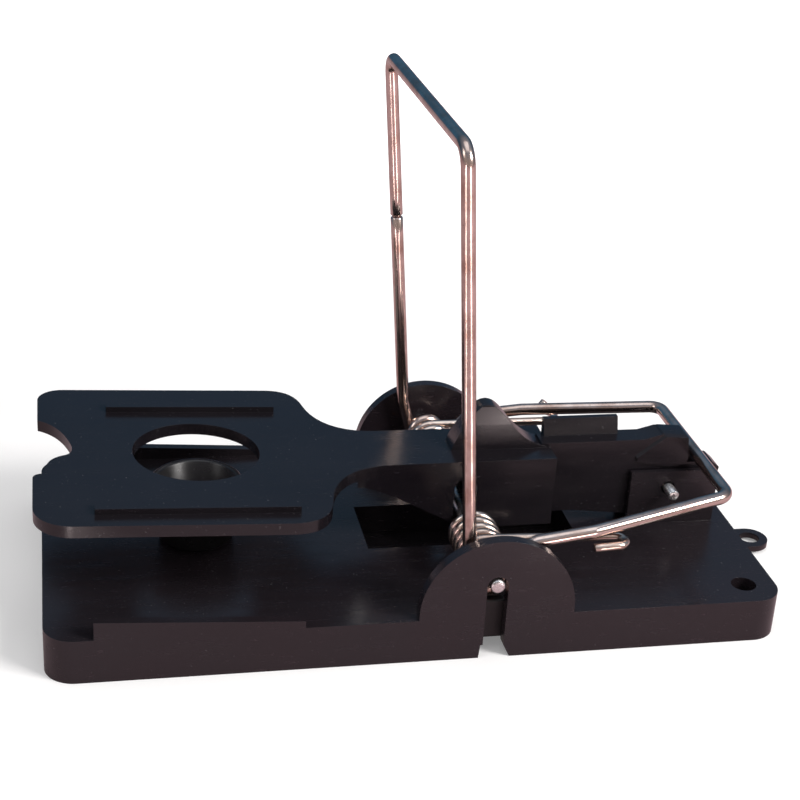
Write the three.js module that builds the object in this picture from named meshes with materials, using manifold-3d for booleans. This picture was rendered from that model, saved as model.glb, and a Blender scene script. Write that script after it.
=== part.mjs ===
// Snap mouse trap, shown set (armed). Millimetres, +Z up.
// Origin: centre of the base on the ground. +X runs from the paddle end to the catch end,
// and Y runs along the axle.

import * as THREE from 'three';
import * as BufferGeometryUtils from 'three/addons/utils/BufferGeometryUtils.js';
import { ConvexGeometry } from 'three/addons/geometries/ConvexGeometry.js';
import Module from 'manifold-3d';

const wasm = await Module();
wasm.setup();

// ---- Driving dimensions ---------------------------------------------------------------

const baseLength = 120;
const baseWidth = 61;
const baseHeight = 7.6;
const baseCorner = 4.8;
const wall = 1.8;
const gap = 0.3;

const axleX = 10.4;
const axleZ = 13.1;
const axleRadius = 1.2;

const pivotX = 48;
const pivotZ = 14.6;
const pivotRadius = 0.95;

const wireRadius = 1.1;
const springWireRadius = 0.75;
const coilRadius = 3.45;

const strikeNearX = 1.05;
const strikeFarX = 0.45;
const strikeBarZ = 83.35;
const setBarX = 53;
const setBarZ = 20.35;

const paddleHalfWidth = 24.6;
const neckHalfWidth = 6.5;
const deckZ = 22.9;
const deckThickness = 2;
const paddleHoleX = -34.4;

const halfLength = baseLength / 2;
const halfWidth = baseWidth / 2;

// ---- Geometry helpers -----------------------------------------------------------------

// A closed three.js geometry as a solid that can be joined and cut. Where an outline's
// neighbouring points coincide, the flat triangles between them are left out.
function solid(geometry) {
  const bare = geometry.clone();
  bare.deleteAttribute('normal');
  bare.deleteAttribute('uv');
  const merged = BufferGeometryUtils.mergeVertices(bare, 1e-4);
  const triangles = [];
  for (let i = 0; i < merged.index.count; i += 3) {
    const [a, b, c] = [0, 1, 2].map((corner) => merged.index.getX(i + corner));
    if (a !== b && b !== c && c !== a) triangles.push(a, b, c);
  }
  return new wasm.Manifold(new wasm.Mesh({
    numProp: 3,
    vertProperties: new Float32Array(merged.attributes.position.array),
    triVerts: new Uint32Array(triangles),
  }));
}

function geometryOf(body) {
  const mesh = body.getMesh();
  const geometry = new THREE.BufferGeometry();
  geometry.setAttribute('position', new THREE.BufferAttribute(mesh.vertProperties, 3));
  geometry.setIndex(new THREE.BufferAttribute(mesh.triVerts, 1));
  geometry.computeVertexNormals();
  return geometry;
}

function polygon(points) {
  return new THREE.Shape(points.map(([a, b]) => new THREE.Vector2(a, b)));
}

function circlePoints(x, y, radius, count) {
  return Array.from({ length: count }, (_, i) => {
    const angle = Math.PI * 2 * i / count;
    return new THREE.Vector2(x + radius * Math.cos(angle), y + radius * Math.sin(angle));
  });
}

function extrude(shape, depth, curveSegments) {
  return new THREE.ExtrudeGeometry(shape, { depth, curveSegments, bevelEnabled: false });
}

// An outline in X and Y, raised from z0 to z1.
function upright(shape, z0, z1, curveSegments = 8) {
  return solid(extrude(shape, z1 - z0, curveSegments).translate(0, 0, z0));
}

// An outline in X and Z, given thickness from y0 to y1.
function sideways(shape, y0, y1, curveSegments = 8) {
  const geometry = extrude(shape, y1 - y0, curveSegments);
  return solid(geometry.rotateX(Math.PI / 2).translate(0, y1, 0));
}

// An outline in Y and Z, given length from x0 to x1.
function lengthways(shape, x0, x1) {
  const turn = new THREE.Matrix4().makeBasis(
    new THREE.Vector3(0, 1, 0),
    new THREE.Vector3(0, 0, 1),
    new THREE.Vector3(1, 0, 0),
  );
  return solid(extrude(shape, x1 - x0, 8).applyMatrix4(turn).translate(x0, 0, 0));
}

function block(x0, x1, y0, y1, z0, z1) {
  const geometry = new THREE.BoxGeometry(x1 - x0, y1 - y0, z1 - z0);
  return solid(geometry.translate((x0 + x1) / 2, (y0 + y1) / 2, (z0 + z1) / 2));
}

function roundAlongY(radius, x, z, y0, y1, sides = 32) {
  const geometry = new THREE.CylinderGeometry(radius, radius, y1 - y0, sides);
  return geometry.translate(x, (y0 + y1) / 2, z);
}

function roundAlongZ(radius, x, y, z0, z1, sides = 32) {
  const geometry = new THREE.CylinderGeometry(radius, radius, z1 - z0, sides);
  return solid(geometry.rotateX(Math.PI / 2).translate(x, y, (z0 + z1) / 2));
}

function roundedRectangle(length, width, radius) {
  const x = length / 2 - radius;
  const y = width / 2 - radius;
  const shape = new THREE.Shape();
  shape.absarc(x, y, radius, 0, Math.PI / 2);
  shape.absarc(-x, y, radius, Math.PI / 2, Math.PI);
  shape.absarc(-x, -y, radius, Math.PI, Math.PI * 1.5);
  shape.absarc(x, -y, radius, Math.PI * 1.5, Math.PI * 2);
  return shape;
}

// A curve through given points, stepped point by point, so straights need no extra rings.
class PointCurve extends THREE.Curve {
  constructor(points) {
    super();
    this.points = points;
  }

  getPointAt(u) {
    return this.points[Math.round(u * (this.points.length - 1))].clone();
  }

  getTangentAt(u) {
    const i = Math.round(u * (this.points.length - 1));
    const before = this.points[Math.max(i - 1, 0)];
    const after = this.points[Math.min(i + 1, this.points.length - 1)];
    const here = this.points[i];
    const into = here.clone().sub(before).normalize();
    const out = after.clone().sub(here).normalize();
    return into.add(out).normalize();
  }
}

function wire(points, radius, sides) {
  const section = new THREE.Shape(circlePoints(0, 0, radius, sides));
  return new THREE.ExtrudeGeometry(section, {
    extrudePath: new PointCurve(points),
    steps: points.length - 1,
  });
}

// Corner points with every inner corner rounded to the given bend radius.
function bend(corners, radius, steps) {
  const points = [corners[0]];
  for (let i = 1; i < corners.length - 1; i += 1) {
    const into = corners[i].clone().sub(corners[i - 1]).normalize();
    const out = corners[i + 1].clone().sub(corners[i]).normalize();
    const turn = into.angleTo(out);
    const reach = radius * Math.tan(turn / 2);
    const start = corners[i].clone().addScaledVector(into, -reach);
    const end = corners[i].clone().addScaledVector(out, reach);
    const arc = new THREE.QuadraticBezierCurve3(start, corners[i], end);
    points.push(...arc.getPoints(Math.max(2, Math.round(steps * turn / (Math.PI / 2)))));
  }
  points.push(corners[corners.length - 1]);
  return points;
}

// ---- Base shell -----------------------------------------------------------------------

const plateThickness = 1.9;
const plateUnderside = baseHeight - plateThickness;
const skirtInside = halfWidth - wall;

const earX = 10.7;
const earZ = 8.5;
const earRadius = 12.7;
const earThickness = 2;

const slotHalfWidth = 1.73;
const plugHalfWidth = 2.1;
const plugTop = 9.2;
const plugBottom = 2.4;
const plugOuterY = halfWidth - earThickness - gap;
const plugThickness = 1.8;

const screwX = 54.5;
const screwY = 25.1;
const screwRadius = 2.1;

const lugInnerY = 2.4;
const lugOuterY = 3.4;

const recessFloorZ = 1.8;

const cupStemRadius = 3;

function ear(side) {
  const shape = new THREE.Shape();
  shape.moveTo(earX - earRadius, plateUnderside);
  shape.lineTo(earX + earRadius, plateUnderside);
  shape.lineTo(earX + earRadius, earZ);
  shape.absarc(earX, earZ, earRadius, 0, Math.PI);
  const inner = halfWidth - earThickness;
  return side > 0
    ? sideways(shape, inner, halfWidth, 20)
    : sideways(shape, -halfWidth, -inner, 20);
}

// Low wall along the paddle end of each side, highest at the outer end.
function sideRail(side) {
  const shape = polygon([[-52.4, plateUnderside], [-20, plateUnderside], [-20, 8.8], [-52.4, 10.7]]);
  const inner = halfWidth - 1.6;
  return side > 0 ? sideways(shape, inner, halfWidth) : sideways(shape, -halfWidth, -inner);
}

// Lugs that carry the pivot pin of the trip lever.
function pivotLug(side) {
  const shape = polygon([[41, plateUnderside], [57, plateUnderside], [57, 14], [54.8, 17.8], [41, 17.8]]);
  return side > 0
    ? sideways(shape, lugInnerY, lugOuterY)
    : sideways(shape, -lugOuterY, -lugInnerY);
}

function cordEyelet() {
  const centreX = 66.6;
  const outer = 3.3;
  const hole = 1.8;
  const shape = new THREE.Shape();
  shape.moveTo(halfLength - 1, -outer);
  shape.lineTo(centreX, -outer);
  shape.absarc(centreX, 0, outer, -Math.PI / 2, Math.PI / 2);
  shape.lineTo(halfLength - 1, outer);
  shape.holes.push(new THREE.Path(circlePoints(centreX, 0, hole, 32)));
  return upright(shape, 0.5, 1.6, 12);
}

// Slot from the bottom edge up to the axle, with a splayed mouth.
function axleSlot(side) {
  const mouth = polygon([[8, -1], [13.7, -1], [12, plugBottom], [8.3, plugBottom]]);
  const shape = new THREE.Shape();
  shape.moveTo(axleX - slotHalfWidth, -1);
  shape.lineTo(axleX + slotHalfWidth, -1);
  shape.absarc(axleX, axleZ, slotHalfWidth, 0, Math.PI);
  const y0 = side > 0 ? plugOuterY : -halfWidth - 1;
  const y1 = side > 0 ? halfWidth + 1 : -plugOuterY;
  return sideways(shape, y0, y1).add(sideways(mouth, y0, y1));
}

// Pocket through the plate for the retainer, between two guide rails.
function retainerPocket(side) {
  const x0 = axleX - plugHalfWidth - gap;
  const x1 = axleX + plugHalfWidth + gap;
  const outer = side * (plugOuterY + gap);
  const inner = side * (plugOuterY - plugThickness - gap);
  return block(x0, x1, Math.min(outer, inner), Math.max(outer, inner), -1, baseHeight + 1);
}

function retainerGuide(side) {
  const x0 = axleX - plugHalfWidth - 1.6;
  const x1 = axleX + plugHalfWidth + 1.6;
  const outer = side * (skirtInside + 0.5);
  const inner = side * (plugOuterY - plugThickness - 1.6);
  return block(x0, x1, Math.min(outer, inner), Math.max(outer, inner), 1, baseHeight - 0.5);
}

function baseShell() {
  const cavity = roundedRectangle(baseLength - 2 * wall, baseWidth - 2 * wall, baseCorner - wall);
  let body = upright(roundedRectangle(baseLength, baseWidth, baseCorner), 0, baseHeight)
    .subtract(upright(cavity, -1, plateUnderside));

  body = body.add(block(-2, 2, -skirtInside - 0.5, skirtInside + 0.5, 0, plateUnderside + 0.5));
  for (const x of [-42, 36]) {
    body = body.add(block(x - 0.7, x + 0.7, -skirtInside - 0.5, skirtInside + 0.5, 1, plateUnderside + 0.5));
  }
  for (const side of [-1, 1]) {
    body = body.add(ear(side)).add(sideRail(side)).add(pivotLug(side)).add(retainerGuide(side));
    body = body.add(roundAlongZ(screwRadius + 2.4, screwX, side * screwY, 0, plateUnderside + 0.5));
  }
  body = body.add(cordEyelet());

  // Closed recess that takes the channel of the trip lever.
  const recess = neckHalfWidth + 0.9;
  body = body.add(block(-7.5, 32.5, -recess - 1.5, recess + 1.5, recessFloorZ - 1.2, plateUnderside + 0.5));
  body = body.subtract(block(-6, 31, -recess, recess, recessFloorZ, baseHeight + 1));
  for (const side of [-1, 1]) {
    body = body.subtract(axleSlot(side)).subtract(retainerPocket(side));
    body = body.subtract(roundAlongZ(screwRadius, screwX, side * screwY, -1, baseHeight + 1));
  }
  body = body.subtract(solid(roundAlongY(pivotRadius + gap, pivotX, pivotZ, -lugOuterY - 1, lugOuterY + 1)));
  body = body.subtract(roundAlongZ(cupStemRadius + gap, paddleHoleX, 0, plateUnderside - 1, baseHeight + 1));
  return geometryOf(body);
}

function axleRetainer(side) {
  const outer = side * plugOuterY;
  const inner = side * (plugOuterY - plugThickness);
  const body = block(
    axleX - plugHalfWidth, axleX + plugHalfWidth,
    Math.min(outer, inner), Math.max(outer, inner),
    plugBottom, plugTop,
  );
  return geometryOf(body);
}

// ---- Bait cup -------------------------------------------------------------------------

function baitCup() {
  const floorZ = baseHeight + gap;
  const rimZ = 18.5;
  const profile = [
    [0, plateUnderside - 0.6],
    [cupStemRadius, plateUnderside - 0.6],
    [cupStemRadius, floorZ],
    [6.2, floorZ],
    [7.2, rimZ - 1.2],
    [7.7, rimZ - 1],
    [7.7, rimZ],
    [6.5, rimZ],
    [5.2, floorZ + 1.4],
    [0, floorZ + 1.4],
  ].map(([radius, z]) => new THREE.Vector2(radius, z));
  return new THREE.LatheGeometry(profile, 36).rotateX(Math.PI / 2).translate(paddleHoleX, 0, 0);
}

// ---- Trip lever: paddle, neck, channel, fin, web and catch -------------------------------

const channelEndX = 26;
const channelBottomZ = 10.3;
const paddleBendX = -21;
const paddleEndX = -60.9;
const paddleRise = 1.5;

// Plan of the whole deck, with the stepped notch in the paddle end.
function deckPlan() {
  const w = paddleHalfWidth;
  const n = neckHalfWidth;
  const farEndX = -60.15;
  const farCorner = 4.3;
  const nearCorner = 6;
  const shape = new THREE.Shape();
  shape.moveTo(channelEndX, -n);
  shape.lineTo(channelEndX, n);
  shape.lineTo(-2.5, n);
  shape.bezierCurveTo(-9.5, n, -13.2, 11, -14.2, 17.5);
  shape.bezierCurveTo(-14.9, 22.5, -17, w, -21.5, w);
  shape.absarc(farEndX + farCorner, w - farCorner, farCorner, Math.PI / 2, Math.PI);
  shape.lineTo(farEndX, 12.2);
  shape.bezierCurveTo(-57.2, 10.6, -55.6, 7, -54.7, 2.6);
  shape.quadraticCurveTo(-54.3, -0.2, -55.9, -0.8);
  shape.bezierCurveTo(-57.6, -1.5, -58.8, -3, -58.8, -5.4);
  shape.lineTo(-58.8, -7.2);
  shape.quadraticCurveTo(paddleEndX, -7.2, paddleEndX, -8.8);
  shape.absarc(paddleEndX + nearCorner, nearCorner - w, nearCorner, Math.PI, Math.PI * 1.5);
  shape.lineTo(-21.5, -w);
  shape.bezierCurveTo(-17, -w, -14.9, -22.5, -14.2, -17.5);
  shape.bezierCurveTo(-13.2, -11, -9.5, -n, -2.5, -n);
  shape.holes.push(new THREE.Path(circlePoints(paddleHoleX, 0.3, 10.5, 48)));
  return shape;
}

// Side view of the deck: flat over the neck, rising gently towards the paddle end.
function deckSection() {
  const endX = paddleEndX - 2;
  const endZ = deckZ + paddleRise * (paddleBendX - endX) / (paddleBendX - paddleEndX);
  return polygon([
    [endX, endZ - deckThickness],
    [paddleBendX, deckZ - deckThickness],
    [channelEndX, deckZ - deckThickness],
    [channelEndX, deckZ],
    [paddleBendX, deckZ],
    [endX, endZ],
  ]);
}

function paddleRib(x0, x1, y0, y1) {
  const rise = (x) => deckZ + paddleRise * Math.max(0, paddleBendX - x) / (paddleBendX - paddleEndX);
  const shape = polygon([[x0, rise(x0) - 0.6], [x1, rise(x1) - 0.6], [x1, rise(x1) + 1], [x0, rise(x0) + 1]]);
  return sideways(shape, y0, y1);
}

// Area inside the neck and channel outline, moved inward by the given amount.
function neckArea(inset, leftX, rightX) {
  const n = neckHalfWidth - inset;
  const shape = new THREE.Shape();
  shape.moveTo(rightX, -n);
  shape.lineTo(rightX, n);
  shape.lineTo(-2.5, n);
  shape.bezierCurveTo(-9.5 + inset, n, -13.2 + inset, 11, -14.2 + inset, 17.5);
  shape.lineTo(leftX, 17.5);
  shape.lineTo(leftX, -17.5);
  shape.lineTo(-14.2 + inset, -17.5);
  shape.bezierCurveTo(-13.2 + inset, -11, -9.5 + inset, -n, -2.5, -n);
  return shape;
}

// Hanging side walls of the neck and channel, open below and shallow near the paddle.
function channelWalls() {
  const outside = upright(neckArea(0, -15, channelEndX), channelBottomZ - 1, deckZ - 0.5);
  const inside = upright(neckArea(1.7, -20, channelEndX - 1.7), channelBottomZ - 2, deckZ - deckThickness);
  const depth = polygon([
    [-13.7, deckZ - deckThickness],
    [-11, 20.5],
    [-7, 19.2],
    [-4.2, 18],
    [0, 15.9],
    [8, 11.6],
    [10.5, channelBottomZ],
    [channelEndX + 1, channelBottomZ],
    [channelEndX + 1, deckZ],
    [-13.7, deckZ],
  ]);
  return outside.subtract(inside).intersect(sideways(depth, -20, 20));
}

// Upright fin over the axle, drawn in slightly to its top and flaring into the web.
function fin() {
  const foot = 2.3;
  const side = new THREE.Shape();
  side.moveTo(8.2, deckZ - 1);
  side.quadraticCurveTo(8.8, 24.6, 10.6, 27.2);
  side.quadraticCurveTo(12.9, 31, 14.6, 31);
  side.quadraticCurveTo(16.2, 30.9, 18.1, 28.4);
  side.quadraticCurveTo(21.2, 23.9, 25.2, 23.1);
  side.lineTo(25.2, deckZ - 1);
  const across = polygon([
    [-foot, deckZ - 2], [foot, deckZ - 2], [2, 27.5], [1.6, 30.6], [1, 32], [-1, 32], [-1.6, 30.6], [-2, 27.5],
  ]);
  return sideways(side, -foot, foot, 8).intersect(lengthways(across, 7, 27));
}

// Narrow web from the channel to the pivot, with the sloped stiffener beside it.
function web() {
  const half = lugInnerY - gap;
  const shape = polygon([
    [channelEndX - 1.5, channelBottomZ],
    [31, channelBottomZ],
    [41, 9.2],
    [50.5, 9.2],
    [51.3, 12],
    [51.3, 20],
    [50.5, 23.5],
    [50, 24],
    [46, 24.4],
    [43, 23.6],
    [channelEndX - 1.5, 23.6],
  ]);
  const stiffener = polygon([[0.6, 23.3], [half + 0.5, 23.3], [half + 0.5, 26.5], [half - 0.5, 26.5]]);
  return sideways(shape, -half, half).add(lengthways(stiffener, channelEndX - 0.4, 39));
}

// Faceted catch above the pivot: flat sides with a narrow bevel along their upper edges.
function catchKnob() {
  const outlines = [
    [2.5, [[42, 20.2], [46.9, 24.1], [51, 23.8], [51.1, 22.4], [51.4, 19.8], [51.1, 18.8], [47.8, 18.3], [42, 19.5]]],
    [1.8, [[41.4, 20.7], [46.4, 24.6], [50.7, 24.2]]],
  ];
  const corners = [];
  for (const [y, outline] of outlines) {
    for (const [x, z] of outline) {
      corners.push(new THREE.Vector3(x, -y, z), new THREE.Vector3(x, y, z));
    }
  }
  return solid(new ConvexGeometry(corners));
}

function tail() {
  const half = lugInnerY - gap;
  const shape = polygon([[50, 16.2], [57.3, 16.2], [57.6, 17.6], [56.2, 18.8], [50, 18.9]]);
  return sideways(shape, -half, half);
}

// Slot that lets the lever drop over the axle.
function axleClearance() {
  const shape = new THREE.Shape();
  shape.moveTo(axleX - 1.9, channelBottomZ - 2);
  shape.lineTo(axleX + 2, channelBottomZ - 2);
  shape.absarc(axleX + 0.05, 17.8, 1.95, 0, Math.PI);
  return sideways(shape, -neckHalfWidth - 1, neckHalfWidth + 1);
}

function triggerPedal() {
  let body = upright(deckPlan(), channelBottomZ, 30, 10)
    .intersect(sideways(deckSection(), -paddleHalfWidth - 1, paddleHalfWidth + 1));
  body = body.add(paddleRib(-51.6, -19.8, -21.1, -18.7)).add(paddleRib(-48.6, -19.6, 15.4, 17.6));
  body = body.add(channelWalls()).add(fin()).add(web()).add(catchKnob()).add(tail());
  body = body.subtract(axleClearance());
  body = body.subtract(solid(roundAlongY(pivotRadius + gap, pivotX, pivotZ, -5, 5)));
  return geometryOf(body);
}

// ---- Hammer frame ---------------------------------------------------------------------

const eyeRadius = axleRadius + gap + wireRadius;
const eyePitch = 2.36;
const strikeLegY = 26.8;
const strikeCornerY = 27.1;
const setCornerY = 17.6;
const exitAngle = Math.PI / 4;
const eyeSweep = Math.PI * 2.5 + exitAngle;

// The eye wraps the axle from its left side, under, and once more round, until the wire
// leaves upwards to the right at exitAngle above the horizontal.
function hammerEye(side) {
  const points = [];
  const steps = 22;
  for (let i = 0; i <= steps; i += 1) {
    const turn = eyeSweep * i / steps;
    const angle = Math.PI + turn;
    points.push(new THREE.Vector3(
      axleX + eyeRadius * Math.cos(angle),
      side * (strikeLegY - eyePitch * turn / (Math.PI * 2)),
      axleZ + eyeRadius * Math.sin(angle),
    ));
  }
  return points;
}

// Centre line of the whole frame, open at the butt joint on the far leg. Each leg runs
// straight down to a slight bend just above its eye.
function hammerPath() {
  const jointZ = 55;
  const jointHalfGap = 0.1;
  const legBendX = 6.15;
  const legBendZ = 19;
  const lastY = strikeLegY - eyePitch * eyeSweep / (Math.PI * 2);
  const farEye = hammerEye(1);
  const nearEye = hammerEye(-1);
  const farTop = new THREE.Vector3(strikeFarX, strikeCornerY, strikeBarZ);
  const nearTop = new THREE.Vector3(strikeNearX, -strikeCornerY, strikeBarZ);
  const farBend = new THREE.Vector3(legBendX, strikeLegY, legBendZ);
  const nearBend = new THREE.Vector3(legBendX, -strikeLegY, legBendZ);
  const jointAt = (z) => farTop.clone().lerp(farBend, (strikeBarZ - z) / (strikeBarZ - legBendZ));

  const strike = bend([jointAt(jointZ + jointHalfGap), farTop, nearTop, nearBend, nearEye[0]], 3, 6);
  const setSide = (side) => [
    new THREE.Vector3(17.8, side * (lastY + 0.1), 16.9),
    new THREE.Vector3(28, side * 23.2, 18),
    new THREE.Vector3(setBarX, side * setCornerY, setBarZ),
  ];
  const nearExit = nearEye[nearEye.length - 1];
  const farExit = farEye[farEye.length - 1];
  const setBar = bend([nearExit, ...setSide(-1), ...setSide(1).reverse(), farExit], 2.6, 6);
  const farLeg = bend([farEye[0], farBend, jointAt(jointZ - jointHalfGap)], 3, 6);
  return [
    ...strike.slice(0, -1),
    ...nearEye,
    ...setBar.slice(1, -1),
    ...farEye.reverse(),
    ...farLeg.slice(1),
  ];
}

// ---- Torsion springs ------------------------------------------------------------------

// One spring: short leg on the base plate, coil on the axle, long leg passing under the
// set bar leg and hooked back round it. The hook ends at the given point.
function springPath(side, hookX, hookZ, end) {
  const innerY = 12.3;
  const outerY = 21.2;
  const turns = 4.5;
  const stepsPerTurn = 14;
  const points = [
    new THREE.Vector3(20, side * innerY, 8.75),
    new THREE.Vector3(14, side * innerY, 9.2),
  ];
  const steps = turns * stepsPerTurn;
  for (let i = 0; i <= steps; i += 1) {
    const angle = -Math.PI / 2 - Math.PI * 2 * turns * i / steps;
    points.push(new THREE.Vector3(
      axleX + coilRadius * Math.cos(angle),
      side * (innerY + (outerY - innerY) * i / steps),
      axleZ + coilRadius * Math.sin(angle),
    ));
  }
  const hookRadius = (end.y - outerY) / 2;
  for (let i = 0; i <= 8; i += 1) {
    const angle = Math.PI / 2 - Math.PI * i / 8;
    points.push(new THREE.Vector3(
      hookX + hookRadius * Math.cos(angle),
      side * (outerY + hookRadius - hookRadius * Math.sin(angle)),
      hookZ,
    ));
  }
  points.push(new THREE.Vector3(end.x, side * end.y, end.z));
  return points;
}

// ---- Assembly -------------------------------------------------------------------------

function plastic(colour, roughness) {
  return new THREE.MeshStandardMaterial({ color: colour, roughness, metalness: 0 });
}

function steel(colour, roughness) {
  return new THREE.MeshStandardMaterial({ color: colour, roughness, metalness: 1 });
}

const trap = new THREE.Group();

function place(name, geometry, material) {
  const mesh = new THREE.Mesh(geometry, material);
  mesh.name = name;
  trap.add(mesh);
}

const axle = roundAlongY(axleRadius, axleX, axleZ, -halfWidth - 0.2, halfWidth + 0.2, 24);
const pivotPin = roundAlongY(pivotRadius, pivotX, pivotZ, -6.6, 6.6, 20);
const nearSpringPath = springPath(-1, 31.9, 15.8, new THREE.Vector3(27.8, 24.4, 15.6));
const farSpringPath = springPath(1, 32.2, 16.4, new THREE.Vector3(33.4, 26, 18.2));

place('base_shell', baseShell(), plastic(0x1c1a1f, 0.45));
place('bait_cup', baitCup(), plastic(0x1a181c, 0.5));
place('near_axle_retainer', axleRetainer(-1), plastic(0x211e23, 0.5));
place('far_axle_retainer', axleRetainer(1), plastic(0x211e23, 0.5));
place('trigger_pedal', triggerPedal(), plastic(0x18191f, 0.4));
place('trigger_pin', pivotPin, steel(0xc9c7c4, 0.25));
place('axle_rod', axle, steel(0xc9c7c4, 0.25));
place('hammer_frame', wire(hammerPath(), wireRadius, 10), steel(0xa3938c, 0.28));
place('near_spring', wire(nearSpringPath, springWireRadius, 8), steel(0xa89a90, 0.3));
place('far_spring', wire(farSpringPath, springWireRadius, 8), steel(0xa89a90, 0.3));

export default trap;
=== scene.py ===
"""Visual model of a set snap mouse trap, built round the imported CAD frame.

Lengths of pieces are in millimetres until a mesh is made; MM turns them into metres.
Materials, lights and the camera are in metres.
+X runs from the paddle end to the catch end, Y along the axle, +Z up.
"""

import math

import bpy
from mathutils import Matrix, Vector


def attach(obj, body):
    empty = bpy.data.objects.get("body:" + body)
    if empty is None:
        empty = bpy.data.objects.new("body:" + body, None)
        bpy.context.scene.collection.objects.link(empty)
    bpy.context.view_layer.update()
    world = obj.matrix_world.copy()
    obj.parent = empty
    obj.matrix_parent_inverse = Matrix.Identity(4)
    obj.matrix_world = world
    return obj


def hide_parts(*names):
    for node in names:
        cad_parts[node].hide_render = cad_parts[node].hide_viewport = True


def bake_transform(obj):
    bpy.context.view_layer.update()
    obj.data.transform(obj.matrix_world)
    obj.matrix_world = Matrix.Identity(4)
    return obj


MM = 0.001

# ---- Driving dimensions, the same as the CAD part's ------------------------------------

BASE_HEIGHT, PLATE_THICKNESS, HALF_WIDTH = 7.6, 1.9, 30.5
GAP = 0.3

AXLE_X, AXLE_Z, AXLE_RADIUS = 10.4, 13.1, 1.2
AXLE_HALF_LENGTH = HALF_WIDTH + 0.2
PIVOT_X, PIVOT_Z, PIVOT_RADIUS = 48.0, 14.6, 0.95
PIN_HALF_LENGTH = 6.6

WIRE_RADIUS = 1.1
WIRE_BEND_RADIUS, LEG_BEND_RADIUS = 2.6, 3.0
STRIKE_NEAR_X, STRIKE_FAR_X, STRIKE_Z = 1.05, 0.45, 83.35
STRIKE_LEG_Y, STRIKE_CORNER_Y = 26.8, 27.1
LEG_BEND_X, LEG_BEND_Z = 6.15, 19.0
JOINT_Z, JOINT_GAP = 55.0, 0.2
SET_FOOT_X, SET_FOOT_Z = 17.8, 16.9
SET_KNEE_X, SET_KNEE_Y, SET_KNEE_Z = 28.0, 23.2, 18.0
SET_X, SET_Z, SET_CORNER_Y = 53.0, 20.35, 17.6
EYE_RADIUS = AXLE_RADIUS + GAP + WIRE_RADIUS
EYE_PITCH = 2.36
EYE_TURNS = 1.375

SPRING_WIRE_RADIUS = 0.75
COIL_RADIUS = 3.45
COIL_INNER_Y, COIL_OUTER_Y = 12.3, 21.2
COIL_TURNS = 4.5
SHORT_LEG = ((20.0, 8.75), (14.0, 9.2))

CUP_X, CUP_STEM_RADIUS, CUP_RIM_Z = -34.4, 3.0, 18.5

# ---- Details that only the visual model has --------------------------------------------

CUT_CHAMFER_SHARE = 0.22
CUT_EDGE_SHARE, CUT_FLAT_SHARE = 0.2, 0.55
CUT_DOME, CUT_FLAT_DEPTH = 0.06, 0.02

EDGE_RADII = {
    "base_shell": 0.4,
    "trigger_pedal": 0.45,
    "near_axle_retainer": 0.3,
    "far_axle_retainer": 0.3,
}


# ---- Mesh helpers ----------------------------------------------------------------------


def add_mesh(name, vertices, faces):
    """A smooth-shaded object from vertices in millimetres."""
    mesh = bpy.data.meshes.new(name)
    mesh.from_pydata([tuple(c * MM for c in v) for v in vertices], [], faces)
    mesh.polygons.foreach_set("use_smooth", [True] * len(mesh.polygons))
    mesh.update()
    piece = bpy.data.objects.new(name, mesh)
    bpy.context.scene.collection.objects.link(piece)
    return piece


def add_uv(piece, rows, sides, lengths):
    """UV with u from 0 to 1 round the section and v the distance along, in millimetres."""
    layer = piece.data.uv_layers.new(name="along")
    for polygon in piece.data.polygons:
        for loop, vertex in zip(polygon.loop_indices, polygon.vertices):
            row, side = divmod(vertex, sides)
            v = lengths[min(row, rows - 1)]
            layer.data[loop].uv = (side / sides, v)


def turn_to(axis, vector):
    """vector without its part along axis, at unit length."""
    return (vector - axis * vector.dot(axis)).normalized()


def tube(name, points, radius, sides):
    """Round wire through points, with slightly chamfered cut ends."""
    points = [Vector(p) for p in points]
    last = len(points) - 1
    tangents = []
    for i in range(len(points)):
        into = (points[i] - points[max(i - 1, 0)]).normalized()
        out = (points[min(i + 1, last)] - points[i]).normalized()
        tangents.append((into + out).normalized())
    chamfer = radius * CUT_CHAMFER_SHARE
    stations = [(points[0], tangents[0], radius - chamfer)]
    stations.append((points[0] + tangents[0] * chamfer, tangents[0], radius))
    stations += [(points[i], tangents[i], radius) for i in range(1, last)]
    stations.append((points[last] - tangents[last] * chamfer, tangents[last], radius))
    stations.append((points[last], tangents[last], radius - chamfer))

    vertices, lengths = [], []
    any_direction = Vector((0.3, 0.5, 0.8))
    normal = turn_to(tangents[0], any_direction)
    travelled, before = 0.0, stations[0][0]
    for centre, tangent, size in stations:
        normal = turn_to(tangent, normal)
        across = tangent.cross(normal)
        travelled += (centre - before).length
        before = centre
        lengths.append(travelled)
        for side in range(sides):
            angle = 2 * math.pi * side / sides
            vertices.append(centre + size * (math.cos(angle) * normal + math.sin(angle) * across))
    rows = len(stations)
    faces = []
    for row in range(rows - 1):
        for side in range(sides):
            a = row * sides + side
            b = row * sides + (side + 1) % sides
            faces.append((a, b, b + sides, a + sides))
    faces.append(tuple(range(sides - 1, -1, -1)))
    faces.append(tuple(range((rows - 1) * sides, rows * sides)))
    piece = add_mesh(name, vertices, faces)
    add_uv(piece, rows, sides, lengths)
    piece.data.polygons[-1].use_smooth = False
    piece.data.polygons[-2].use_smooth = False
    return piece


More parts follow.
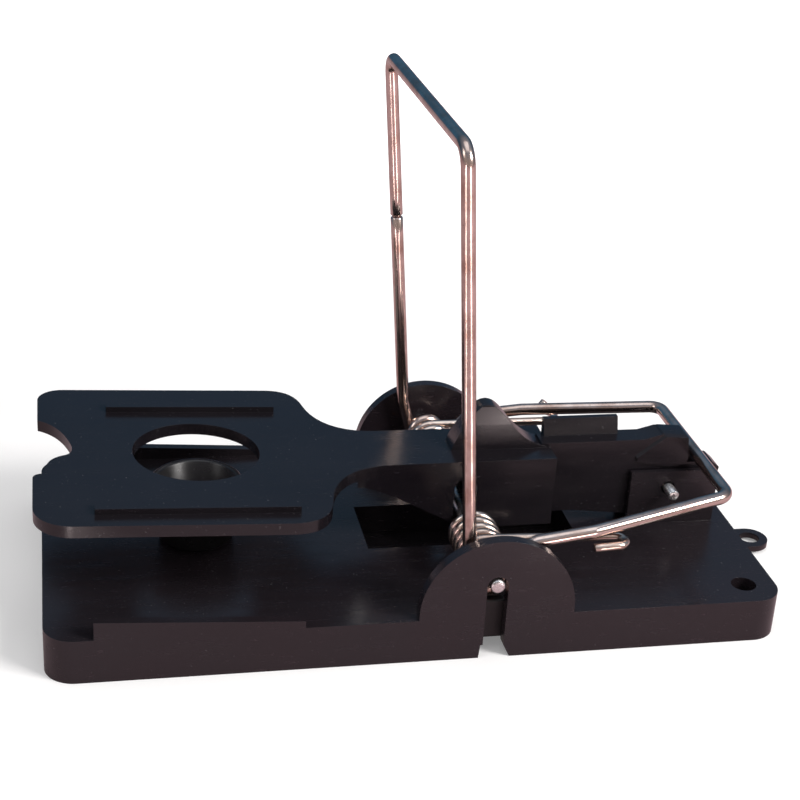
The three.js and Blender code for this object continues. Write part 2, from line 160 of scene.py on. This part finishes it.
def lathe(name, profile, sides, place):
    """Solid of revolution from (radius, height) pairs; place maps (x, y, height) to the part."""
    vertices, rows = [], []
    for radius, height in profile:
        if radius == 0:
            rows.append([len(vertices)] * sides)
            vertices.append(place(0, 0, height))
            continue
        rows.append(list(range(len(vertices), len(vertices) + sides)))
        for side in range(sides):
            angle = 2 * math.pi * side / sides
            vertices.append(place(radius * math.cos(angle), radius * math.sin(angle), height))
    faces = []
    for low, high in zip(rows, rows[1:]):
        for side in range(sides):
            step = (side + 1) % sides
            corners = [low[side], low[step], high[step], high[side]]
            faces.append(tuple(dict.fromkeys(corners)))
    return add_mesh(name, vertices, faces)


def bend(corners, radius, steps):
    """Corner points with every inner corner replaced by an arc of the given radius."""
    corners = [Vector(c) for c in corners]
    points = [corners[0]]
    for before, corner, after in zip(corners, corners[1:], corners[2:]):
        into = (corner - before).normalized()
        out = (after - corner).normalized()
        turn = into.angle(out)
        reach = radius * math.tan(turn / 2)
        start = corner - into * reach
        inward = turn_to(into, out)
        centre = start + inward * radius
        count = max(3, round(steps * turn / (math.pi / 2)))
        for i in range(count + 1):
            angle = turn * i / count
            points.append(centre - inward * radius * math.cos(angle) + into * radius * math.sin(angle))
    points.append(corners[-1])
    return points


def subdivided(points, longest):
    """The same path with no straight step longer than the given length."""
    result = [points[0]]
    for before, after in zip(points, points[1:]):
        count = max(1, math.ceil((after - before).length / longest))
        result += [before.lerp(after, i / count) for i in range(1, count + 1)]
    return result


def smooth_edges(piece, width):
    """Joins a CAD mesh's split vertices, merges its flat triangles and rounds its edges."""
    weld = piece.modifiers.new("weld", "WELD")
    weld.merge_threshold = 0.00001
    flat = piece.modifiers.new("flat", "DECIMATE")
    flat.decimate_type = "DISSOLVE"
    flat.angle_limit = math.radians(0.6)
    rounding = piece.modifiers.new("rounding", "BEVEL")
    rounding.width = width * MM
    rounding.segments = 3
    rounding.limit_method = "ANGLE"
    rounding.angle_limit = math.radians(32)
    rounding.miter_outer = "MITER_ARC"
    piece.data.polygons.foreach_set("use_smooth", [True] * len(piece.data.polygons))
    normals = piece.modifiers.new("normals", "WEIGHTED_NORMAL")
    normals.mode = "FACE_AREA"
    normals.weight = 100


# ---- Material helpers ------------------------------------------------------------------

# Where a colour mix node keeps its share, its two colours and its result.
MIX_SHARE, MIX_FIRST, MIX_SECOND, MIX_RESULT = 0, 6, 7, 2


class Nodes:
    """Short calls for building one node tree."""

    def __init__(self, tree):
        self.tree = tree

    def add(self, kind, **inputs):
        node = self.tree.nodes.new(kind)
        for key, value in inputs.items():
            self.set(node, key, value)
        return node

    def set(self, node, key, value):
        socket = node.inputs[key.replace("_", " ")]
        if isinstance(value, bpy.types.NodeSocket):
            self.tree.links.new(value, socket)
        else:
            socket.default_value = value

    def object_point(self):
        return self.add("ShaderNodeTexCoord").outputs["Object"]

    def wire_point(self):
        uv = self.add("ShaderNodeUVMap")
        uv.uv_map = "along"
        return uv.outputs["UV"]

    def scaled(self, vector, scale):
        mapping = self.add("ShaderNodeMapping", Vector=vector, Scale=scale)
        return mapping.outputs["Vector"]

    def noise(self, vector, scale, detail=4.0, roughness=0.55):
        node = self.add("ShaderNodeTexNoise", Vector=vector, Scale=scale, Detail=detail, Roughness=roughness)
        return node.outputs["Fac"]

    def spread(self, value, low, high, to_low, to_high):
        limits = {"From_Min": low, "From_Max": high, "To_Min": to_low, "To_Max": to_high}
        return self.add("ShaderNodeMapRange", Value=value, **limits).outputs["Result"]

    def mix(self, share, first, second):
        node = self.tree.nodes.new("ShaderNodeMix")
        node.data_type = "RGBA"
        self.plug(node.inputs[MIX_SHARE], share)
        self.plug(node.inputs[MIX_FIRST], first)
        self.plug(node.inputs[MIX_SECOND], second)
        return node.outputs[MIX_RESULT]

    def plug(self, socket, value):
        if isinstance(value, bpy.types.NodeSocket):
            self.tree.links.new(value, socket)
        elif isinstance(value, tuple):
            socket.default_value = (*value, 1.0)
        else:
            socket.default_value = value

    def math(self, operation, first, second=0.0):
        node = self.tree.nodes.new("ShaderNodeMath")
        node.operation = operation
        self.plug(node.inputs[0], first)
        self.plug(node.inputs[1], second)
        return node.outputs[0]

    def smooth_step(self, value, low, high):
        node = self.add("ShaderNodeMapRange", Value=value, From_Min=low, From_Max=high)
        node.interpolation_type = "SMOOTHSTEP"
        return node.outputs["Result"]

    def bump(self, height, distance, strength, normal=None):
        node = self.add("ShaderNodeBump", Height=height, Distance=distance, Strength=strength)
        if normal is not None:
            self.set(node, "Normal", normal)
        return node.outputs["Normal"]


class MaterialNodes(Nodes):
    """A new material, with calls that set its shader."""

    def __init__(self, name):
        self.material = bpy.data.materials.new(name)
        self.material.use_nodes = True
        super().__init__(self.material.node_tree)
        self.shader = self.tree.nodes["Principled BSDF"]

    def surface(self, socket, value):
        self.plug(self.shader.inputs[socket], value)


def moulded_plastic(name, base, worn, roughness):
    """Satin moulded plastic: fine grain, faint flow marks, dust specks and scuffs."""
    n = MaterialNodes(name)
    point = n.object_point()
    cloud = n.noise(point, scale=55.0, detail=3.0)
    flow = n.noise(n.scaled(point, (1.0, 6.0, 6.0)), scale=90.0)
    scuff = n.noise(n.scaled(point, (1.0, 9.0, 4.0)), scale=420.0, detail=5.0, roughness=0.65)
    scuffs = n.spread(scuff, 0.62, 0.74, 0.0, 1.0)
    speck = n.noise(point, scale=2300.0, detail=1.0)
    specks = n.spread(speck, 0.74, 0.80, 0.0, 1.0)

    scuff_tone = tuple(3.0 * c for c in worn)
    dust_tone = (0.12, 0.12, 0.125)
    tone = n.mix(n.spread(cloud, 0.35, 0.65, 0.0, 0.5), base, worn)
    tone = n.mix(n.math("MULTIPLY", scuffs, 0.35), tone, scuff_tone)
    tone = n.mix(n.math("MULTIPLY", specks, 0.5), tone, dust_tone)
    n.surface("Base Color", tone)

    rough = n.spread(flow, 0.3, 0.7, roughness - 0.07, roughness + 0.07)
    n.surface("Roughness", n.math("ADD", rough, n.math("MULTIPLY", scuffs, 0.12)))

    grain = n.noise(point, scale=5200.0, detail=2.0)
    normal = n.bump(grain, distance=0.00003, strength=0.32)
    n.surface("Normal", n.bump(flow, distance=0.00015, strength=0.06, normal=normal))
    n.surface("Specular IOR Level", 0.5)
    return n.material


def drawn_wire(name, clean, stained, roughness):
    """Drawn steel wire: fine lines along its length, and soft brown staining."""
    n = MaterialNodes(name)
    along = n.wire_point()
    lines = n.noise(n.scaled(along, (26.0, 0.05, 1.0)), scale=1.0, detail=3.0, roughness=0.6)
    stain = n.noise(n.scaled(along, (1.6, 0.16, 1.0)), scale=1.0, detail=5.0, roughness=0.6)
    pits = n.noise(n.object_point(), scale=1500.0, detail=3.0)
    stains = n.spread(stain, 0.42, 0.66, 0.0, 1.0)

    pit_tone = (0.1, 0.07, 0.055)
    pit_share = n.math("MULTIPLY", n.spread(pits, 0.66, 0.76, 0.0, 1.0), 0.6)
    n.surface("Base Color", n.mix(pit_share, n.mix(stains, clean, stained), pit_tone))
    n.surface("Metallic", 1.0)

    rough = n.spread(lines, 0.3, 0.7, roughness - 0.05, roughness + 0.05)
    n.surface("Roughness", n.math("ADD", rough, n.math("MULTIPLY", stains, 0.08)))

    normal = n.bump(lines, distance=0.00003, strength=0.35)
    n.surface("Normal", n.bump(pits, distance=0.00004, strength=0.12, normal=normal))
    return n.material


def cut_steel(name, tone, roughness):
    """Bright cut rod with small dark pits."""
    n = MaterialNodes(name)
    pits = n.noise(n.object_point(), scale=1700.0, detail=4.0, roughness=0.6)
    pit_tone = (0.25, 0.2, 0.19)
    pit_share = n.math("MULTIPLY", n.spread(pits, 0.60, 0.70, 0.0, 1.0), 0.7)
    n.surface("Base Color", n.mix(pit_share, tone, pit_tone))
    n.surface("Metallic", 1.0)
    n.surface("Roughness", n.spread(pits, 0.3, 0.7, roughness, roughness + 0.15))
    n.surface("Normal", n.bump(pits, distance=0.00006, strength=0.5))
    return n.material


def paint(piece, material):
    piece.data.materials.clear()
    piece.data.materials.append(material)


# ---- Hammer and springs ----------------------------------------------------------------


def hammer_eye(side, steps=66):
    """Helix round the axle, from its left side, under, and round until the wire leaves upwards."""
    points = []
    for i in range(steps + 1):
        turns = EYE_TURNS * i / steps
        angle = math.pi + 2 * math.pi * turns
        points.append(Vector((
            AXLE_X + EYE_RADIUS * math.cos(angle),
            side * (STRIKE_LEG_Y - EYE_PITCH * turns),
            AXLE_Z + EYE_RADIUS * math.sin(angle),
        )))
    return points


def hammer_path():
    """Centre line of the frame, open at the butt joint half-way up the far leg."""
    last_y = STRIKE_LEG_Y - EYE_PITCH * EYE_TURNS
    far_eye, near_eye = hammer_eye(1), hammer_eye(-1)
    far_top = Vector((STRIKE_FAR_X, STRIKE_CORNER_Y, STRIKE_Z))
    near_top = Vector((STRIKE_NEAR_X, -STRIKE_CORNER_Y, STRIKE_Z))
    far_bend = Vector((LEG_BEND_X, STRIKE_LEG_Y, LEG_BEND_Z))
    near_bend = Vector((LEG_BEND_X, -STRIKE_LEG_Y, LEG_BEND_Z))

    def on_far_leg(z):
        return far_top.lerp(far_bend, (STRIKE_Z - z) / (STRIKE_Z - LEG_BEND_Z))

    def set_side(side):
        return [
            Vector((SET_FOOT_X, side * (last_y + 0.1), SET_FOOT_Z)),
            Vector((SET_KNEE_X, side * SET_KNEE_Y, SET_KNEE_Z)),
            Vector((SET_X, side * SET_CORNER_Y, SET_Z)),
        ]

    joint_top = on_far_leg(JOINT_Z + JOINT_GAP / 2)
    joint_foot = on_far_leg(JOINT_Z - JOINT_GAP / 2)
    bend_steps = 14
    strike = bend([joint_top, far_top, near_top, near_bend, near_eye[0]], LEG_BEND_RADIUS, bend_steps)
    corners = [near_eye[-1], *set_side(-1), *reversed(set_side(1)), far_eye[-1]]
    set_bar = bend(corners, WIRE_BEND_RADIUS, bend_steps)
    far_leg = bend([far_eye[0], far_bend, joint_foot], LEG_BEND_RADIUS, bend_steps)
    path = strike[:-1] + near_eye + set_bar[1:-1] + far_eye[::-1] + far_leg[1:]
    return subdivided(path, 4.0)


def spring_path(side, hook, end):
    """Short leg on the plate, coil on the axle, long leg hooked round the set bar leg."""
    hook_x, hook_z = hook
    points = [Vector((x, side * COIL_INNER_Y, z)) for x, z in SHORT_LEG]
    steps_per_turn = 48
    steps = round(COIL_TURNS * steps_per_turn)
    for i in range(steps + 1):
        angle = -math.pi / 2 - 2 * math.pi * COIL_TURNS * i / steps
        points.append(Vector((
            AXLE_X + COIL_RADIUS * math.cos(angle),
            side * (COIL_INNER_Y + (COIL_OUTER_Y - COIL_INNER_Y) * i / steps),
            AXLE_Z + COIL_RADIUS * math.sin(angle),
        )))
    hook_radius = (end[1] - COIL_OUTER_Y) / 2
    hook_steps = 20
    for i in range(hook_steps + 1):
        angle = math.pi / 2 - math.pi * i / hook_steps
        points.append(Vector((
            hook_x + hook_radius * math.cos(angle),
            side * (COIL_OUTER_Y + hook_radius - hook_radius * math.sin(angle)),
            hook_z,
        )))
    points.append(Vector((end[0], side * end[1], end[2])))
    return subdivided(points, 2.0)


# ---- Turned parts ----------------------------------------------------------------------


def round_rod(name, radius, x, z, half_length):
    """Rod along Y with cropped, slightly domed ends."""
    edge = radius * CUT_EDGE_SHARE
    end = [
        (0.0, half_length),
        (radius * CUT_FLAT_SHARE, half_length - CUT_FLAT_DEPTH),
        (radius - edge, half_length - CUT_DOME),
        (radius, half_length - CUT_DOME - edge),
    ]
    profile = [(size, -height) for size, height in end] + end[::-1]
    return lathe(name, profile, 40, lambda a, b, along: (x + b, along, z + a))


def bait_cup(name):
    """Round cup on a stem, with a rolled rim and a small fillet inside."""
    floor_z = BASE_HEIGHT + GAP
    stem_z = BASE_HEIGHT - PLATE_THICKNESS - 0.6
    inside_z = floor_z + 1.4
    profile = [
        (0.0, stem_z),
        (CUP_STEM_RADIUS - 0.3, stem_z),
        (CUP_STEM_RADIUS, stem_z + 0.3),
        (CUP_STEM_RADIUS, floor_z),
        (5.9, floor_z),
        (6.25, floor_z + 0.35),
        (7.15, CUP_RIM_Z - 1.25),
        (7.5, CUP_RIM_Z - 1.1),
        (7.68, CUP_RIM_Z - 0.85),
        (7.68, CUP_RIM_Z - 0.25),
        (7.4, CUP_RIM_Z),
        (6.8, CUP_RIM_Z),
        (6.5, CUP_RIM_Z - 0.25),
        (5.45, inside_z + 0.9),
        (5.0, inside_z + 0.3),
        (4.3, inside_z),
        (0.0, inside_z),
    ]
    return lathe(name, profile, 96, lambda a, b, up: (CUP_X + a, b, up))


# ---- Scene -----------------------------------------------------------------------------


FLOOR_HALF_SIZE = 3000.0
WHITE = (1.0, 1.0, 1.0)

# Painted glow on the floor, hidden from the camera: two bright patches that paint highlights on the wire,
# and a faint glow over the rest.
# Bearing and half width in degrees, measured from the front of the trap towards +X.
GLINTS = ((26.0, 7.0), (-42.0, 5.0))
GLINT_STRENGTH, GROUND_GLOW = 9.0, 0.12

CAMERA_PLACE = (-0.05586, -0.24668, 0.14867)
CAMERA_TILT, CAMERA_ROLL, CAMERA_HEADING = 65.141, -3.188, -11.185
CAMERA_LENS, CAMERA_SENSOR = 74.78, 36.0


def add_floor():
    size = FLOOR_HALF_SIZE
    corners = [(-size, -size, 0), (size, -size, 0), (size, size, 0), (-size, size, 0)]
    floor = add_mesh("floor", corners, [(0, 1, 2, 3)])
    paint(floor, floor_material())


def front_glints(n, split, distance):
    """Two patches of painted glow on the floor, in front of the trap to the right and to the left, hidden
    from the camera; they paint bright highlights on the wire.
    """
    bearing = n.math("ARCTAN2", split.outputs["X"], n.math("MULTIPLY", split.outputs["Y"], -1.0))
    glints = []
    for centre, half_width in GLINTS:
        offset = n.math("ABSOLUTE", n.math("SUBTRACT", bearing, math.radians(centre)))
        glints.append(n.spread(offset, 0.0, math.radians(half_width), 1.0, 0.0))
    strength = n.spread(distance, 0.075, 0.10, 0.0, GLINT_STRENGTH)
    return n.math("MULTIPLY", n.math("ADD", *glints), strength)


def floor_material():
    """White to the camera, brightest away from the trap so that only its shadow is grey. In reflections it
    is painted as warm ground with a faint glow, and with two bright patches of painted glow, to the front
    right and front left."""
    n = MaterialNodes("pale_floor")
    seen = n.add("ShaderNodeLightPath").outputs["Is Camera Ray"]
    split = n.add("ShaderNodeSeparateXYZ", Vector=n.object_point())
    length = n.add("ShaderNodeVectorMath", Vector=n.object_point())
    length.operation = "LENGTH"
    distance = length.outputs["Value"]

    # Painted glow that the camera never sees: faint over the warm ground, bright in the glints.
    reflected_glow = n.math("ADD", front_glints(n, split, distance), GROUND_GLOW)
    seen_glow = n.spread(distance, 0.10, 0.32, 0.2, 1.0)
    unseen = n.math("SUBTRACT", 1.0, seen)
    seen_part = n.math("MULTIPLY", seen, seen_glow)
    reflected_part = n.math("MULTIPLY", unseen, reflected_glow)
    n.surface("Base Color", n.mix(seen, (0.42, 0.29, 0.32), (0.86, 0.86, 0.86)))
    n.surface("Emission Color", n.mix(seen, (1.0, 0.86, 0.84), WHITE))
    n.surface("Emission Strength", n.math("ADD", seen_part, reflected_part))
    n.surface("Roughness", 0.9)
    n.surface("Specular IOR Level", 0.1)
    return n.material


def add_light(name, place, size, power, colour):
    """A square soft light, aimed at the middle of the trap."""
    aim = Vector((0.0, 0.0, 0.02)) - Vector(place)
    data = bpy.data.lights.new(name, "AREA")
    data.shape = "RECTANGLE"
    data.size = size
    data.size_y = size
    data.energy = power
    data.color = colour
    lamp = bpy.data.objects.new(name, data)
    lamp.location = place
    lamp.rotation_euler = aim.to_track_quat("-Z", "Y").to_euler()
    bpy.context.scene.collection.objects.link(lamp)


def add_world():
    """White to the camera and plain grey as soft light. In reflections it is a sky over warm
    ground, grey in front and blue behind."""
    world = bpy.data.worlds.new("studio")
    world.use_nodes = True
    bpy.context.scene.world = world
    n = Nodes(world.node_tree)
    n.tree.nodes.clear()
    path = n.add("ShaderNodeLightPath")
    direction = n.add("ShaderNodeTexCoord").outputs["Generated"]
    split = n.add("ShaderNodeSeparateXYZ", Vector=direction)

    front, behind = (0.36, 0.32, 0.31), (0.04, 0.11, 0.19)
    overhead, ground = (0.25, 0.30, 0.38), (0.32, 0.22, 0.24)
    soft_grey = (0.41, 0.405, 0.41)
    low_sky = n.mix(n.smooth_step(split.outputs["Y"], -0.6, 0.6), front, behind)
    sky = n.mix(n.smooth_step(split.outputs["Z"], 0.25, 0.95), low_sky, overhead)
    room = n.mix(n.smooth_step(split.outputs["Z"], -0.04, 0.05), ground, sky)
    light = n.add("ShaderNodeBackground", Color=n.mix(path.outputs["Is Diffuse Ray"], room, soft_grey))
    page = n.add("ShaderNodeBackground", Color=(*WHITE, 1.0))

    choose = n.add("ShaderNodeMixShader")
    n.plug(choose.inputs[0], path.outputs["Is Camera Ray"])
    n.plug(choose.inputs[1], light.outputs[0])
    n.plug(choose.inputs[2], page.outputs[0])
    n.add("ShaderNodeOutputWorld", Surface=choose.outputs[0])


def add_camera():
    """A long lens, in front of the paddle end and a little above."""
    data = bpy.data.cameras.new("camera")
    data.sensor_width = CAMERA_SENSOR
    data.lens = CAMERA_LENS
    camera = bpy.data.objects.new("camera", data)
    camera.location = CAMERA_PLACE
    camera.rotation_euler = [math.radians(a) for a in (CAMERA_TILT, CAMERA_ROLL, CAMERA_HEADING)]
    bpy.context.scene.collection.objects.link(camera)
    bpy.context.scene.camera = camera


def add_mouldings():
    """The CAD's own meshes of the base, lever and retainers, rounded and painted."""
    base = moulded_plastic("base_plastic", (0.014, 0.0115, 0.014), (0.017, 0.011, 0.0135), 0.23)
    lever = moulded_plastic("lever_plastic", (0.0085, 0.0068, 0.0088), (0.0125, 0.0105, 0.013), 0.2)
    retainer = moulded_plastic("retainer_plastic", (0.004, 0.0035, 0.004), (0.008, 0.007, 0.008), 0.45)
    looks = {
        "base_shell": (base, "base_plastic"),
        "trigger_pedal": (lever, "lever_plastic"),
        "near_axle_retainer": (retainer, "base_plastic"),
        "far_axle_retainer": (retainer, "base_plastic"),
    }
    for name, (material, slot) in looks.items():
        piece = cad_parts[name]
        smooth_edges(piece, EDGE_RADII[name])
        paint(piece, material)


def fit(piece, material, body, node):
    """Paints a new piece, puts it on its body and lets it stand for its CAD node."""
    paint(piece, material)
    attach(piece, body)
    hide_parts(node)


def add_turned_parts():
    plastic = moulded_plastic("cup_plastic", (0.0065, 0.0058, 0.0065), (0.011, 0.010, 0.011), 0.32)
    steel = cut_steel("rod_steel", (0.78, 0.77, 0.76), 0.22)
    fit(bait_cup("cup"), plastic, "base", "bait_cup")
    axle = round_rod("axle", AXLE_RADIUS, AXLE_X, AXLE_Z, AXLE_HALF_LENGTH)
    fit(axle, steel, "base", "axle_rod")
    pin = round_rod("pin", PIVOT_RADIUS, PIVOT_X, PIVOT_Z, PIN_HALF_LENGTH)
    fit(pin, steel, "base", "trigger_pin")


def add_hammer():
    steel = drawn_wire("wire_steel", (0.72, 0.59, 0.53), (0.46, 0.32, 0.265), 0.16)
    hammer = tube("hammer", hammer_path(), WIRE_RADIUS, 28)
    fit(hammer, steel, "hammer", "hammer_frame")


def add_spring(name, side, material, hook, end):
    """A spring that winds from the base at its inner end to the hammer at its outer end."""
    spring = tube(name + "_torsion_spring", spring_path(side, hook, end), SPRING_WIRE_RADIUS, 20)
    paint(spring, material)
    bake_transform(spring)
    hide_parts(name + "_spring")


def add_springs():
    steel = drawn_wire("spring_steel", (0.76, 0.64, 0.56), (0.48, 0.34, 0.28), 0.18)
    add_spring("near", -1, steel, hook=(31.9, 15.8), end=(27.8, 24.4, 15.6))
    add_spring("far", 1, steel, hook=(32.2, 16.4), end=(33.4, 26.0, 18.2))


def add_stage():
    add_floor()
    add_world()
    add_light("key", (0.64, -0.50, 0.60), 0.34, 8.5, (1.0, 0.97, 0.95))
    add_light("fill", (-0.7, -0.2, 0.5), 0.3, 0.8, (1.0, 0.98, 0.97))
    add_light("top", (0.0, -0.1, 0.9), 0.7, 1.5, WHITE)
    add_camera()
    bpy.context.scene.view_settings.view_transform = "Standard"


def build():
    add_mouldings()
    add_turned_parts()
    add_hammer()
    add_springs()
    add_stage()


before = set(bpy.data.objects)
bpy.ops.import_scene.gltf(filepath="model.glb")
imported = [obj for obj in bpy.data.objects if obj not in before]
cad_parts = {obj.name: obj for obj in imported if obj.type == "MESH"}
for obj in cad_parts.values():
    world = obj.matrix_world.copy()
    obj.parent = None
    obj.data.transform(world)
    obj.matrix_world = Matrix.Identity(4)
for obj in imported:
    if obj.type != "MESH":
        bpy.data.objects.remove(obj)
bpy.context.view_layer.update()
build()
